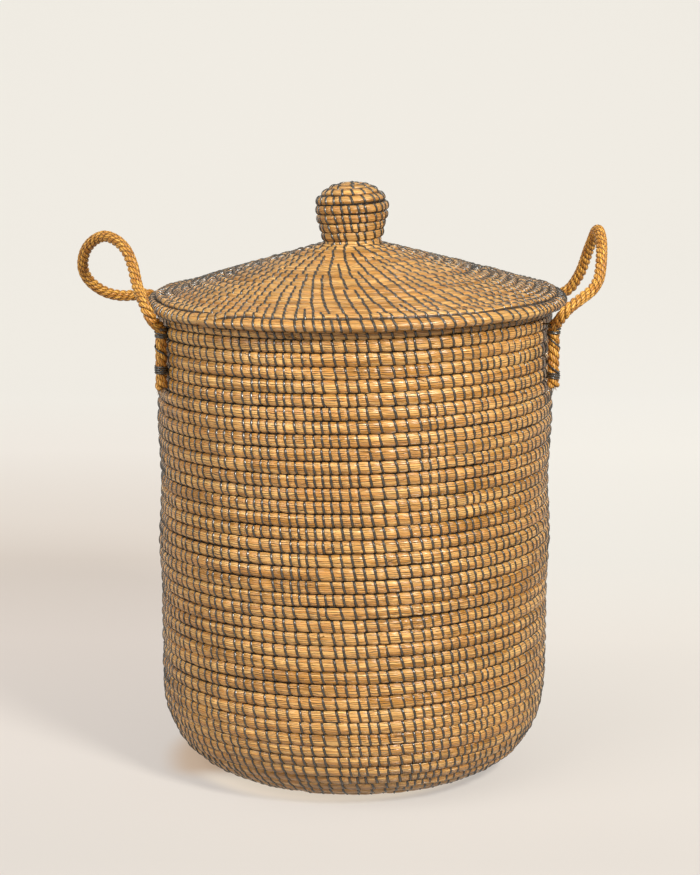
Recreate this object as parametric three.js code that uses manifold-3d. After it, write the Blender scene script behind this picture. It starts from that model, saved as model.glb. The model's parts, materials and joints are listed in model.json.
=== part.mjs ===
// A coiled seagrass laundry basket with a lift-off lid and two rope handles.
// Millimetres, +Z up, with the origin on the floor under the middle of the base.
// +X points to the right handle, and the front of the basket faces -Y.
import * as THREE from "three";
import { mergeVertices } from "three/addons/utils/BufferGeometryUtils.js";
import Module from "manifold-3d";

const wasm = await Module();
wasm.setup();

// Driving dimensions of the coil
const ROW_PITCH = 13.9; // from one row to the next
const ROW_DEPTH = 13; // bundle of seagrass, through the wall
const GROOVE_DEPTH = 2.4; // between two rows, below their crests
const BEAD_CORNER = 3; // taken off the corners of a row that is seen in section
const SEAM = 0.3; // gap between pieces that touch on the real basket

// Driving dimensions of the basket
const BASKET_RADIUS = 215; // over the crests of the rows
const BASKET_HEIGHT = 515; // floor to the top of the rim
const HEEL_RADIUS = 95; // rounding from the base up into the wall
const RIM_HEIGHT = 12; // last row of the basket

// Driving dimensions of the lid
const LID_OVERHANG = 15; // of the outermost row, past the outside of the basket
const LID_EDGE_WIDTH = 14.5; // outermost row, from the lid's edge inwards
const LID_EDGE_HEIGHT = 13;
const LID_SLOPE = THREE.MathUtils.degToRad(17); // of the cone, up from level
const SEAT_CLEARANCE = 2; // between the seat row under the lid and the inside of the basket
const SEAT_HEIGHT = 24; // seat row, below the lid

// Driving dimensions of the knob
const KNOB_RADIUS = 40;
const KNOB_HALF_HEIGHT = 32; // of the ball, from its widest row to its top
const KNOB_ROW_PITCH = 9.5;
const KNOB_ROW_DEPTH = 9.5;
const KNOB_GROOVE_DEPTH = 1.8;
const NECK_INSET = 9; // from the knob's widest row in to the neck
const NECK_HEIGHT = 13.2; // above the foot of the neck on the lid
const NECK_BORE = 18; // hole up through the lid and the neck, which the stuffing fills

// Driving dimensions of the handles
const ROPE_RADIUS = 5.4;
const LEG_HALF_SPREAD = 80; // from the middle of a handle to each leg
const BEND_UNDER_LID = 3.6; // how far the bend of a handle reaches in under the lid's edge
const BEND_BELOW_RIM = 2.6; // top of the bend, below the top of the rim
const BEND_CLEARANCE = 1.4; // between the bend and the upright of a leg
const TAIL_LENGTH = 14; // frayed end of a leg, below its lower lashing

// Driving dimensions of the lashings
const THREAD_RADIUS = 1;
const THREAD_GAP = 0.6; // between one turn and the next
const UPPER_TURNS = 4;
const LOWER_TURNS = 3;
const LASHING_BELOW_BEND = 1.1; // top of the upper lashing, below the end of the upright
const LASHING_SPACING = 30.2; // between the two lashings of a leg

// Facets
const BASKET_SEGMENTS = 32;
const HEEL_INSIDE_STEPS = 6;
const KNOB_SEGMENTS = 20;
const KNOB_INSIDE_STEPS = 11;
const CORE_STEPS = 6;
const ROPE_SIDES = 8;
const ROPE_STEP = 2 * ROPE_RADIUS; // along a rope
const THREAD_SIDES = 5;
const THREAD_STEPS = 10; // in one turn of a lashing

// Handle loops, from the bend of the front leg to the bend of the rear leg. A point is a distance outwards
// from the bends, a share of the half spread of the legs along Y, and a height above the bends.
// The left loop is twisted to face the front, and the right one stands edge-on to it.
const LEFT_LOOP = [
  [0, -1, 0],
  [5.5, -0.99, 7],
  [10, -0.91, 18.5],
  [15.5, -0.795, 32.5],
  [18.5, -0.69, 44.5],
  [22.5, -0.56, 56.5],
  [30.5, -0.385, 70.5],
  [42, -0.22, 79.5],
  [56, -0.06, 83],
  [69, 0.09, 77.5],
  [79, 0.235, 67],
  [84.5, 0.375, 53.5],
  [85, 0.505, 40],
  [79, 0.635, 27],
  [66.5, 0.76, 16],
  [52, 0.85, 10.5],
  [37, 0.915, 9.5],
  [23, 0.965, 11],
  [11, 0.995, 8.5],
  [5, 1, 5],
  [0, 1, 0],
];
const RIGHT_LOOP = [
  [0, -1, 0],
  [5.5, -1, 7],
  [12, -0.985, 17],
  [22.5, -0.955, 25],
  [34.5, -0.89, 33],
  [42, -0.8, 43],
  [45, -0.68, 52.5],
  [47, -0.545, 62.5],
  [48.5, -0.39, 72],
  [49.5, -0.2, 81.5],
  [49.2, -0.05, 87.5],
  [48.5, 0.1, 90],
  [47.3, 0.26, 87],
  [45.5, 0.42, 77.5],
  [42.5, 0.57, 65],
  [40, 0.685, 53],
  [37, 0.785, 41],
  [32, 0.875, 29],
  [26, 0.94, 19.5],
  [17, 0.975, 12.5],
  [9.5, 0.995, 8],
  [4.5, 1, 4],
  [0, 1, 0],
];

// Places worked out from the sizes above
const INNER_RADIUS = BASKET_RADIUS - ROW_DEPTH;
const BASE_RADIUS = BASKET_RADIUS - HEEL_RADIUS;
const RIM_BOTTOM = BASKET_HEIGHT - RIM_HEIGHT;
const RIM_FLAT_RADIUS = BASKET_RADIUS - BEAD_CORNER; // the lid rests here on the rim
const LID_RADIUS = BASKET_RADIUS + LID_OVERHANG;
const LEG_OFFSET = ROPE_RADIUS + SEAM + 2 * THREAD_RADIUS + SEAM; // room for the lashing behind a leg
const acrossLegs = (radius) => Math.sqrt(radius ** 2 - LEG_HALF_SPREAD ** 2);
const LEG_X = acrossLegs(BASKET_RADIUS + LEG_OFFSET);
const PIVOT_X = Math.max(LEG_X + ROPE_RADIUS, acrossLegs(LID_RADIUS - BEND_UNDER_LID + ROPE_RADIUS));
const PIVOT_Z = BASKET_HEIGHT - BEND_BELOW_RIM - ROPE_RADIUS;
const THREAD_PITCH = 2 * THREAD_RADIUS + THREAD_GAP;
const lashingHeight = (turns) => turns * THREAD_PITCH + 2 * THREAD_RADIUS;
const UPRIGHT_TOP = PIVOT_Z - 2 * ROPE_RADIUS - SEAM - BEND_CLEARANCE;
const UPPER_LASHING = UPRIGHT_TOP - LASHING_BELOW_BEND - lashingHeight(UPPER_TURNS);
const LOWER_LASHING = UPPER_LASHING - LASHING_SPACING - lashingHeight(LOWER_TURNS);
const LEG_TAIL = LOWER_LASHING - TAIL_LENGTH;
const lidUnderside = (radius) =>
  BASKET_HEIGHT + SEAM + (RIM_FLAT_RADIUS - radius) * Math.tan(LID_SLOPE);
const lidTop = (radius) => lidUnderside(radius) + ROW_DEPTH / Math.cos(LID_SLOPE);
const LID_COIL_RADIUS = LID_RADIUS - LID_EDGE_WIDTH - SEAM;
const SEAT_RADIUS = INNER_RADIUS - SEAT_CLEARANCE;
const NECK_RADIUS = KNOB_RADIUS - NECK_INSET;
const NECK_FOOT = lidTop(NECK_BORE) + SEAM;
const NECK_TOP = lidTop(NECK_RADIUS) + NECK_HEIGHT;

// Materials
const finish = (color, roughness) => new THREE.MeshStandardMaterial({ color, roughness, metalness: 0 });
const seagrass = finish(0xb98a4c, 0.7);
const rope = finish(0xb57a2c, 0.75);
const thread = finish(0x4c4842, 0.45);
const stuffing = finish(0xa37c48, 0.9);

// A solid of the joining library, from a closed geometry.
function solidOf(geometry) {
  const bare = geometry.clone();
  bare.deleteAttribute("normal");
  bare.deleteAttribute("uv");
  const merged = mergeVertices(bare);
  return new wasm.Manifold(
    new wasm.Mesh({
      numProp: 3,
      vertProperties: merged.attributes.position.array,
      triVerts: new Uint32Array(merged.index.array),
    }),
  );
}

// One geometry of several that overlap.
function joined(first, ...others) {
  const whole = others.reduce((sum, geometry) => sum.add(solidOf(geometry)), solidOf(first));
  const mesh = whole.getMesh();
  const geometry = new THREE.BufferGeometry()
    .setAttribute("position", new THREE.Float32BufferAttribute(mesh.vertProperties, mesh.numProp))
    .setIndex(new THREE.Uint32BufferAttribute(mesh.triVerts, 1));
  geometry.computeVertexNormals();
  return geometry;
}

// A closed surface through rings of points that each go once round the axis, and from the last ring back
// to the first. A triangle with two corners in one place is left out.
function surfaceThrough(rings) {
  const SAME_PLACE = 0.01;
  const positions = [];
  const addTriangle = (...corners) => {
    if (corners.every((corner, i) => corner.distanceTo(corners[(i + 1) % 3]) > SAME_PLACE))
      corners.forEach((corner) => positions.push(...corner));
  };
  rings.forEach((ring, i) => {
    const next = rings[(i + 1) % rings.length];
    for (let j = 0; j + 1 < ring.length; j++) {
      addTriangle(ring[j], ring[j + 1], next[j + 1]);
      addTriangle(ring[j], next[j + 1], next[j]);
    }
  });
  const geometry = new THREE.BufferGeometry();
  geometry.setAttribute("position", new THREE.Float32BufferAttribute(positions, 3));
  geometry.computeVertexNormals();
  return geometry;
}

// A wall of coil rows between two meridians, which are paths of radius and height that run up the basket.
// The outside has one ridge a row, and the ridge climbs one row in each turn. The inside is plain.
// rowsBelow is the count of rows wound before this piece, so that its ridge goes on where theirs stops.
function coilWall({ outside, inside, insideSteps, pitch, groove, rowsBelow, segments }) {
  const rows = outside.getLength() / pitch;
  const lines = 2; // of points in one row: its groove and its crest
  const nearEnd = 0.02; // rows, within which a line of points meets the end of the wall
  const turn = (j) => j / segments;
  const place = (j, radius, height) => {
    const angle = 2 * Math.PI * (j % segments) / segments;
    return new THREE.Vector3(radius * Math.cos(angle), radius * Math.sin(angle), height);
  };
  const ringOf = (pointAt) => Array.from({ length: segments + 1 }, (_, j) => pointAt(j));
  const outerPoint = (j, row) => {
    const point = outside.getPoint(row / rows);
    const along = outside.getTangent(row / rows);
    const phase = 2 * Math.PI * (rowsBelow + row - turn(j));
    const drop = groove * (1 + Math.cos(phase)) / 2 * Math.min(1, point.x / pitch);
    return place(j, point.x - drop * along.y, point.y + drop * along.x);
  };
  const clamped = (row) => {
    if (row < nearEnd) return 0;
    return row > rows - nearEnd ? rows : row;
  };
  const rings = [];
  const firstLine = Math.floor(lines * (rowsBelow - 1));
  const lastLine = Math.ceil(lines * (rowsBelow + rows));
  for (let line = firstLine; line <= lastLine; line++)
    rings.push(ringOf((j) => outerPoint(j, clamped(line / lines + turn(j) - rowsBelow))));
  for (let step = insideSteps; step >= 0; step--) {
    const point = inside.getPoint(step / insideSteps);
    rings.push(ringOf((j) => place(j, point.x, point.y)));
  }
  return surfaceThrough(rings);
}

// A profile of [radius, height] points turned round the Z axis.
function turned(profile, segments) {
  const points = profile.map(([radius, height]) => new THREE.Vector2(radius, height));
  return new THREE.LatheGeometry(points, segments).rotateX(Math.PI / 2);
}

// A ring of one row, in section a rectangle with its corners taken off.
function bead(innerRadius, outerRadius, bottom, top) {
  const c = BEAD_CORNER;
  const profile = [
    [innerRadius + c, bottom],
    [outerRadius - c, bottom],
    [outerRadius, bottom + c],
    [outerRadius, top - c],
    [outerRadius - c, top],
    [innerRadius + c, top],
    [innerRadius, top - c],
    [innerRadius, bottom + c],
  ];
  return turned([...profile, profile[0]], BASKET_SEGMENTS);
}

// A round tube along points, with steps of about the given length.
function tube(points, radius, sides, step) {
  const path = new THREE.CatmullRomCurve3(points);
  const corner = (_, i) => {
    const angle = 2 * Math.PI * i / sides;
    return new THREE.Vector2(radius * Math.cos(angle), radius * Math.sin(angle));
  };
  return new THREE.ExtrudeGeometry(new THREE.Shape(Array.from({ length: sides }, corner)), {
    steps: Math.ceil(path.getLength() / step),
    extrudePath: path,
    bevelEnabled: false,
  });
}

// The body's outer meridian is a quarter circle from the flat base into a straight wall.
function heelGeometry() {
  const arc = (radius) =>
    new THREE.Path().absarc(BASE_RADIUS, HEEL_RADIUS, radius, -Math.PI / 2, 0);
  return coilWall({
    outside: arc(HEEL_RADIUS),
    inside: arc(HEEL_RADIUS - ROW_DEPTH),
    insideSteps: HEEL_INSIDE_STEPS,
    pitch: ROW_PITCH,
    groove: GROOVE_DEPTH,
    rowsBelow: BASE_RADIUS / ROW_PITCH,
    segments: BASKET_SEGMENTS,
  });
}

function wallGeometry() {
  const line = (radius) =>
    new THREE.Path().moveTo(radius, HEEL_RADIUS + SEAM).lineTo(radius, RIM_BOTTOM - SEAM);
  return coilWall({
    outside: line(BASKET_RADIUS),
    inside: line(INNER_RADIUS),
    insideSteps: 1,
    pitch: ROW_PITCH,
    groove: GROOVE_DEPTH,
    rowsBelow: (BASE_RADIUS + HEEL_RADIUS * Math.PI / 2 + SEAM) / ROW_PITCH,
    segments: BASKET_SEGMENTS,
  });
}

function baseGeometry() {
  const radius = BASE_RADIUS - SEAM;
  return turned([[0, 0], [radius, 0], [radius, ROW_DEPTH], [0, ROW_DEPTH]], BASKET_SEGMENTS);
}

// The lid is a cone. Its rows run on from the edge row, and its hole opens into the knob.
function lidGeometry() {
  const line = (height) =>
    new THREE.Path()
      .moveTo(LID_COIL_RADIUS, height(LID_COIL_RADIUS))
      .lineTo(NECK_BORE, height(NECK_BORE));
  return coilWall({
    outside: line(lidTop),
    inside: line(lidUnderside),
    insideSteps: 1,
    pitch: ROW_PITCH,
    groove: GROOVE_DEPTH,
    rowsBelow: 1,
    segments: BASKET_SEGMENTS,
  });
}

function lidEdgeGeometry() {
  const bottom = lidUnderside(LID_COIL_RADIUS);
  return bead(LID_RADIUS - LID_EDGE_WIDTH, LID_RADIUS, bottom, bottom + LID_EDGE_HEIGHT);
}

function lidSeatGeometry() {
  const top = lidUnderside(SEAT_RADIUS - BEAD_CORNER) - SEAM;
  return bead(SEAT_RADIUS - ROW_DEPTH, SEAT_RADIUS, top - SEAT_HEIGHT, top);
}

// The neck stands on the cone, so its foot slopes as the lid does.
function neckGeometry() {
  const foot = (radius) => lidTop(radius) + SEAM;
  const profile = [
    [NECK_BORE, NECK_FOOT],
    [NECK_RADIUS - KNOB_GROOVE_DEPTH, foot(NECK_RADIUS - KNOB_GROOVE_DEPTH)],
    [NECK_RADIUS, (foot(NECK_RADIUS) + NECK_TOP) / 2],
    [NECK_RADIUS - KNOB_GROOVE_DEPTH, NECK_TOP],
    [NECK_BORE, NECK_TOP],
  ];
  return turned([...profile, profile[0]], KNOB_SEGMENTS);
}

// The knob is an ellipsoid that is cut off where it meets the neck. Its hollow opens downwards, as wide as
// the neck's hole.
const KNOB_FOOT = NECK_TOP + SEAM;
const KNOB_FOOT_ANGLE = -Math.acos(NECK_RADIUS / KNOB_RADIUS);
const KNOB_CENTRE = KNOB_FOOT - KNOB_HALF_HEIGHT * Math.sin(KNOB_FOOT_ANGLE);
const HOLLOW_RADIUS = KNOB_RADIUS - KNOB_ROW_DEPTH;
const HOLLOW_HALF_HEIGHT = KNOB_HALF_HEIGHT - KNOB_ROW_DEPTH;
function knobGeometry() {
  const angleAtFoot = Math.asin(Math.max(-1, (KNOB_FOOT - KNOB_CENTRE) / HOLLOW_HALF_HEIGHT));
  const angleAtBore = -Math.acos(NECK_BORE / HOLLOW_RADIUS);
  const from = Math.max(angleAtFoot, angleAtBore);
  return coilWall({
    outside: new THREE.Path().absellipse(
      0, KNOB_CENTRE, KNOB_RADIUS, KNOB_HALF_HEIGHT, KNOB_FOOT_ANGLE, Math.PI / 2,
    ),
    inside: new THREE.Path()
      .moveTo(HOLLOW_RADIUS * Math.cos(from), KNOB_FOOT)
      .absellipse(0, KNOB_CENTRE, HOLLOW_RADIUS, HOLLOW_HALF_HEIGHT, from, Math.PI / 2),
    insideSteps: KNOB_INSIDE_STEPS,
    pitch: KNOB_ROW_PITCH,
    groove: KNOB_GROOVE_DEPTH,
    rowsBelow: 0,
    segments: KNOB_SEGMENTS,
  });
}

// The stuffing fills the knob and the hole below it, down to the underside of the lid.
// Its stem clears the lid's rows, whose grooves lean into the hole.
function coreGeometry() {
  const stem = NECK_BORE - GROOVE_DEPTH * Math.sin(LID_SLOPE) - SEAM;
  const gap = 2 * SEAM; // one for the facets of the hollow
  const radius = HOLLOW_RADIUS - gap;
  const halfHeight = HOLLOW_HALF_HEIGHT - gap;
  const foot = lidUnderside(NECK_BORE);
  const shoulder = Math.max(KNOB_FOOT, KNOB_CENTRE - halfHeight * Math.sqrt(1 - (stem / radius) ** 2));
  const ball = new THREE.Path()
    .absellipse(0, KNOB_CENTRE, radius, halfHeight, -Math.PI / 2, Math.PI / 2)
    .getPoints(CORE_STEPS)
    .map(({ x, y }) => [Math.max(0, x), y])
    .filter(([, height]) => height > shoulder + SEAM);
  return turned([[0, foot], [stem, foot], [stem, shoulder], ...ball], KNOB_SEGMENTS);
}

// The points of a loop in the basket's frame.
function loopPoints(side, loop) {
  return loop.map(
    ([out, share, up]) =>
      new THREE.Vector3(side * (PIVOT_X + out), share * LEG_HALF_SPREAD, PIVOT_Z + up),
  );
}

// One leg of a handle, lashed to the wall and bent outwards at its top. It ends just short of the round end
// of the handle's loop.
function legGeometry(side, end, loop) {
  const points = loopPoints(side, loop);
  const [pivot, next] = end < 0 ? points : points.reverse();
  const leaving = next.clone().sub(pivot).normalize();
  const top = pivot.clone().addScaledVector(leaving, -(ROPE_RADIUS + SEAM));
  const upright = (z) => new THREE.Vector3(side * LEG_X, end * LEG_HALF_SPREAD, z);
  const route = [
    upright(LEG_TAIL),
    upright((LEG_TAIL + UPRIGHT_TOP) / 2),
    upright(UPRIGHT_TOP - ROPE_RADIUS),
    upright(UPRIGHT_TOP),
    top.clone().addScaledVector(leaving, -ROPE_RADIUS),
    top,
  ];
  return tube(route, ROPE_RADIUS, ROPE_SIDES, ROPE_STEP);
}

// The free part of a handle, with a round end in each bend so that it can swing there.
function loopGeometry(side, loop) {
  const points = loopPoints(side, loop);
  const roundEnd = ({ x, y, z }) =>
    new THREE.SphereGeometry(ROPE_RADIUS, ROPE_SIDES, ROPE_SIDES).translate(x, y, z);
  return joined(
    tube(points, ROPE_RADIUS, ROPE_SIDES, ROPE_STEP),
    roundEnd(points[0]),
    roundEnd(points.at(-1)),
  );
}

// Thread wound round an upright leg, starting at the wall. Both ends run straight on for one thread diameter.
function lashingPoints(turns) {
  const radius = ROPE_RADIUS + SEAM + THREAD_RADIUS;
  const points = [];
  for (let i = 0; i <= turns * THREAD_STEPS; i++) {
    const angle = 2 * Math.PI * i / THREAD_STEPS;
    const height = THREAD_RADIUS + THREAD_PITCH * i / THREAD_STEPS;
    points.push(new THREE.Vector3(radius * Math.cos(angle), radius * Math.sin(angle), height));
  }
  const straightOn = new THREE.Vector3(0, 2 * THREAD_RADIUS, 0);
  points.unshift(points[0].clone().sub(straightOn));
  points.push(points.at(-1).clone().add(straightOn));
  return points;
}

// The least gap between points of a lashing that are half a turn or more apart along it.
function leastGap(points) {
  let least = Infinity;
  points.forEach((point, i) =>
    points
      .slice(i + THREAD_STEPS / 2)
      .forEach((other) => (least = Math.min(least, point.distanceTo(other)))),
  );
  return least - 2 * THREAD_RADIUS;
}

function lashing(name, side, end, turns, bottom) {
  const points = lashingPoints(turns);
  console.log(`${name}: least gap between turns ${leastGap(points).toFixed(2)} mm`);
  const step = new THREE.CatmullRomCurve3(points).getLength() / (points.length - 1);
  const mesh = new THREE.Mesh(tube(points, THREAD_RADIUS, THREAD_SIDES, step), thread);
  mesh.name = name;
  mesh.position.set(side * LEG_X, end * LEG_HALF_SPREAD, bottom);
  mesh.rotation.z = Math.atan2(-end * LEG_HALF_SPREAD, -side * LEG_X);
  return mesh;
}

function piece(name, geometry, material) {
  const mesh = new THREE.Mesh(geometry, material);
  mesh.name = name;
  return mesh;
}

const basket = new THREE.Group();
basket.add(
  piece("base_coil", baseGeometry(), seagrass),
  piece("heel_coil", heelGeometry(), seagrass),
  piece("wall_coil", wallGeometry(), seagrass),
  piece("rim_coil", bead(INNER_RADIUS, BASKET_RADIUS, RIM_BOTTOM, BASKET_HEIGHT), seagrass),
);

const lid = new THREE.Group();
lid.add(
  piece("lid_coil", lidGeometry(), seagrass),
  piece("lid_edge_coil", lidEdgeGeometry(), seagrass),
  piece("lid_seat_coil", lidSeatGeometry(), seagrass),
  piece("knob_neck_coil", neckGeometry(), seagrass),
  piece("knob_coil", knobGeometry(), seagrass),
  piece("knob_core", coreGeometry(), stuffing),
);

const handles = new THREE.Group();
const SIDES = { left: [-1, LEFT_LOOP], right: [1, RIGHT_LOOP] };
const ENDS = { front: -1, rear: 1 };
for (const [sideName, [side, loop]] of Object.entries(SIDES)) {
  handles.add(piece(`${sideName}_handle_loop`, loopGeometry(side, loop), rope));
  for (const [endName, end] of Object.entries(ENDS)) {
    const leg = `${sideName}_${endName}`;
    handles.add(
      piece(`${leg}_leg`, legGeometry(side, end, loop), rope),
      lashing(`${leg}_upper_lashing`, side, end, UPPER_TURNS, UPPER_LASHING),
      lashing(`${leg}_lower_lashing`, side, end, LOWER_TURNS, LOWER_LASHING),
    );
  }
}

const laundryBasket = new THREE.Group();
laundryBasket.add(basket, lid, handles);

export default laundryBasket;
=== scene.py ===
# %% [markdown]
# # A coiled seagrass laundry basket
# The real basket is one long bundle of dried seagrass, laid round and round from the middle of its base and
# sewn, row to row, with dark grey thread. The lid is a second coil that starts in the knob, and two rope
# handles are tied on with the same thread.
# A smooth shell with a drawn pattern would be lighter, but a handmade coil shows its rows in its outline
# and shades itself between them. So the bundle, every stitch and the ropes are meshes here, and the
# materials add grain and colour, and painted shade in the grooves between rows and in the rope's creases.

# %% Load the frame
import json
import math
import random

import bmesh
import bpy
import numpy as np
from mathutils import Matrix, Vector


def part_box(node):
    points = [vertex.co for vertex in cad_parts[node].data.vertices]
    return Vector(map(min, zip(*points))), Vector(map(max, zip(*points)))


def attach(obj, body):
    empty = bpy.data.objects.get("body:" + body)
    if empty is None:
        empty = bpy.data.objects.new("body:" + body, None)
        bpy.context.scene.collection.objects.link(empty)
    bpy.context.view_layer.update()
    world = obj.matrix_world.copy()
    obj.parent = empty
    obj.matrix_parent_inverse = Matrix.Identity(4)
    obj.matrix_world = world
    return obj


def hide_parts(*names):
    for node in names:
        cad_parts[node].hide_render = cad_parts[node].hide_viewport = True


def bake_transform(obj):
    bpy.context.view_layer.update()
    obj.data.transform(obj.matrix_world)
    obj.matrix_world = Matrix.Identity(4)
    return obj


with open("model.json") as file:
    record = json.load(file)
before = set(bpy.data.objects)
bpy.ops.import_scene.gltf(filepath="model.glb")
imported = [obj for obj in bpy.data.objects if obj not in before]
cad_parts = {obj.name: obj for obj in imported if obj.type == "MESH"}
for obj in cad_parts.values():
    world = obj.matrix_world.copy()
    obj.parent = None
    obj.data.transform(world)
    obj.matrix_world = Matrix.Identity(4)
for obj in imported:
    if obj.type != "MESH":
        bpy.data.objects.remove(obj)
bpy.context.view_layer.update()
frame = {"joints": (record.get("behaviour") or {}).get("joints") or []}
scene = bpy.context.scene
TURN = 2 * math.pi

# %% [markdown]
# ## The camera
# The picture was taken from a little above the lid through a long lens, so the basket's sides stay almost
# upright and its rows curve gently. Camera place and lens were fitted to the edges of the lid, the wall and
# the base.
# A camera could be aimed with a constraint, but a written place, pitch and roll give the same picture on
# every run.

# %% Camera
IMAGE_HEIGHT_PIXELS = 875
FOCAL_PIXELS = 2174
SENSOR_MM = 36
CAMERA_PLACE = (0, -2.379, 0.791)
CAMERA_PITCH = math.radians(10.11)
CAMERA_ROLL = 0.003
FRAME_SHIFT_PIXELS = 4.8

camera = bpy.data.objects.new("camera", bpy.data.cameras.new("camera"))
scene.collection.objects.link(camera)
camera.data.sensor_width = SENSOR_MM
camera.data.lens = SENSOR_MM * FOCAL_PIXELS / IMAGE_HEIGHT_PIXELS
camera.data.shift_x = -FRAME_SHIFT_PIXELS / IMAGE_HEIGHT_PIXELS
look_ahead = Matrix.Rotation(TURN / 4 - CAMERA_PITCH, 4, "X")
roll = Matrix.Rotation(CAMERA_ROLL, 4, "Z")
camera.matrix_world = Matrix.Translation(CAMERA_PLACE) @ look_ahead @ roll
scene.camera = camera
print(f"lens {camera.data.lens:.1f} mm")

# %% [markdown]
# ## The light
# The key lamp stands to the right of the camera and above it: the wall is brightest a little right of its
# middle, and a soft shadow falls to the left and back. A much larger and weaker lamp keeps the left side
# from going dark, and the rest of the room is an even, slightly warm fill.
# A sun lamp would cut hard shadows between the rows, so round area lamps and the world do the work.

# %% Lamps and room
BASKET_MIDDLE = Vector((0, 0, 0.3))
FILL_COLOUR = (0.40, 0.39, 0.37, 1)


def soft_lamp(name, place, size, watts, colour):
    """A round area lamp that faces the basket."""
    lamp = bpy.data.objects.new(name, bpy.data.lights.new(name, "AREA"))
    scene.collection.objects.link(lamp)
    lamp.data.shape = "DISK"
    lamp.data.size = size
    lamp.data.energy = watts
    lamp.data.color = colour
    lamp.location = place
    lamp.rotation_euler = (BASKET_MIDDLE - lamp.location).to_track_quat("-Z", "Y").to_euler()
    print(name, f"{(BASKET_MIDDLE - lamp.location).length:.2f} m away")


soft_lamp("key_lamp", place=(1.35, -1.93, 1.95), size=0.6, watts=86, colour=(1, 0.97, 0.91))
soft_lamp("side_lamp", place=(-1.8, -1.7, 1.9), size=2.6, watts=52, colour=(1, 0.98, 0.95))
scene.world = bpy.data.worlds.new("room")
scene.world.use_nodes = True
scene.world.node_tree.nodes["Background"].inputs["Color"].default_value = FILL_COLOUR
scene.view_settings.view_transform = "Standard"

# %% [markdown]
# ## Shader maths as plain sums
# Every finish below is worked out by nodes, and a chain of nodes is hard to read as code. A small class
# wraps a node's output, so that a sum or product of two outputs adds the Math node by itself, and one
# method adds any other node.

# %% Signals between shader nodes
class Signal:
    """One output of a shader node. Sums and products of signals add Math nodes."""

    def __init__(self, tree, socket=None):
        self.tree = tree
        self.socket = socket

    def node(self, kind, settings=None, sockets=None, output=0):
        """Adds a node: its settings first, then the values or links of its sockets."""
        made = self.tree.nodes.new("ShaderNode" + kind)
        for name, value in (settings or {}).items():
            if name == "stops":
                self.set_stops(made.color_ramp.elements, value)
            else:
                setattr(made, name, value)
        for name, value in (sockets or {}).items():
            if isinstance(value, Signal):
                self.tree.links.new(value.socket, made.inputs[name])
            else:
                made.inputs[name].default_value = value
        return Signal(self.tree, made.outputs[output] if made.outputs else None)

    def set_stops(self, elements, stops):
        """Gives a ramp its (place, colour) stops."""
        while len(elements) < len(stops):
            elements.new(1)
        for element, (place, colour) in zip(elements, stops):
            element.position = place
            element.color = colour

    def maths(self, operation, first, second=0.0):
        return self.node("Math", {"operation": operation}, {0: first, 1: second})

    def __add__(self, other):
        return self.maths("ADD", self, other)

    __radd__ = __add__

    def __sub__(self, other):
        return self.maths("SUBTRACT", self, other)

    def __rsub__(self, other):
        return self.maths("SUBTRACT", other, self)

    def __mul__(self, other):
        return self.maths("MULTIPLY", self, other)

    __rmul__ = __mul__

    def __pow__(self, other):
        return self.maths("POWER", self, other)

    def __abs__(self):
        return self.maths("ABSOLUTE", self)

    def floor(self):
        return self.maths("FLOOR", self)

    def fraction(self):
        return self.maths("FRACT", self)

    def between(self, low, high):
        """0 below low, 1 above high, and smooth between."""
        settings = {"interpolation_type": "SMOOTHSTEP"}
        return self.node("MapRange", settings, {"Value": self, "From Min": low, "From Max": high})


print("signals ready")

# %% Helpers for finishes
# A Mix node has sockets for each kind of data, and these are the numbers of the ones for colours.
MIX_FACTOR, MIX_FIRST, MIX_SECOND, MIX_RESULT = 0, 6, 7, 2


def start_finish(name):
    """A new material with no nodes, and a signal to add its nodes from."""
    material = bpy.data.materials.new(name)
    material.use_nodes = True
    material.node_tree.nodes.clear()
    return material, Signal(material.node_tree)


def end_finish(start, sockets):
    """Joins the sockets' values to a Principled shader and that to the output."""
    shader = start.node("BsdfPrincipled", None, sockets)
    start.node("OutputMaterial", None, {"Surface": shader})


def parts_of(vector, names):
    """The named parts of a vector, each as a signal."""
    return [vector.node("SeparateXYZ", None, {"Vector": vector}, output=name) for name in names]


def strip_uv(start):
    """The two directions of a piece's own UV map: along it and around it."""
    return parts_of(start.node("TexCoord", output="UV"), "XY")


def grain(along, around, cells, layer, detail=1.0):
    """Noise with so many cells along and around. Each layer is a noise of its own."""
    place = along.node("CombineXYZ", None, {"X": along * cells[0], "Y": around * cells[1], "Z": layer})
    return along.node("TexNoise", None, {"Vector": place, "Scale": 1.0, "Detail": detail})


def cloud(place, scale, detail):
    """Noise that is alike in all directions of the room."""
    return place.node("TexNoise", None, {"Vector": place, "Scale": scale, "Detail": detail})


def chance_of(first, second):
    """An even chance from 0 to 1 for each pair of whole numbers."""
    pair = first.node("CombineXYZ", None, {"X": first, "Y": second})
    return first.node("TexWhiteNoise", {"noise_dimensions": "2D"}, {"Vector": pair})


def from_middle(value):
    """How far each whole step of a value is from its middle: 0 in the middle and 1 at both ends."""
    return abs(value.fraction() - 0.5) * 2


def mix(factor, first, second, kind="MIX"):
    """Mixes two colours, by a signal or a number."""
    settings = {"data_type": "RGBA", "blend_type": kind}
    any_signal = next(value for value in (factor, first, second) if isinstance(value, Signal))
    sockets = {MIX_FACTOR: factor, MIX_FIRST: first, MIX_SECOND: second}
    return any_signal.node("Mix", settings, sockets, output=MIX_RESULT)


def grey(value):
    """A signal's value as a colour."""
    return value.node("CombineColor", None, {"Red": value, "Green": value, "Blue": value})


def bumps(relief, strength, height):
    """Normals that make relief look up to so many metres high."""
    return relief.node("Bump", None, {"Height": relief, "Strength": strength, "Distance": height})


print("helpers ready")
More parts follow.
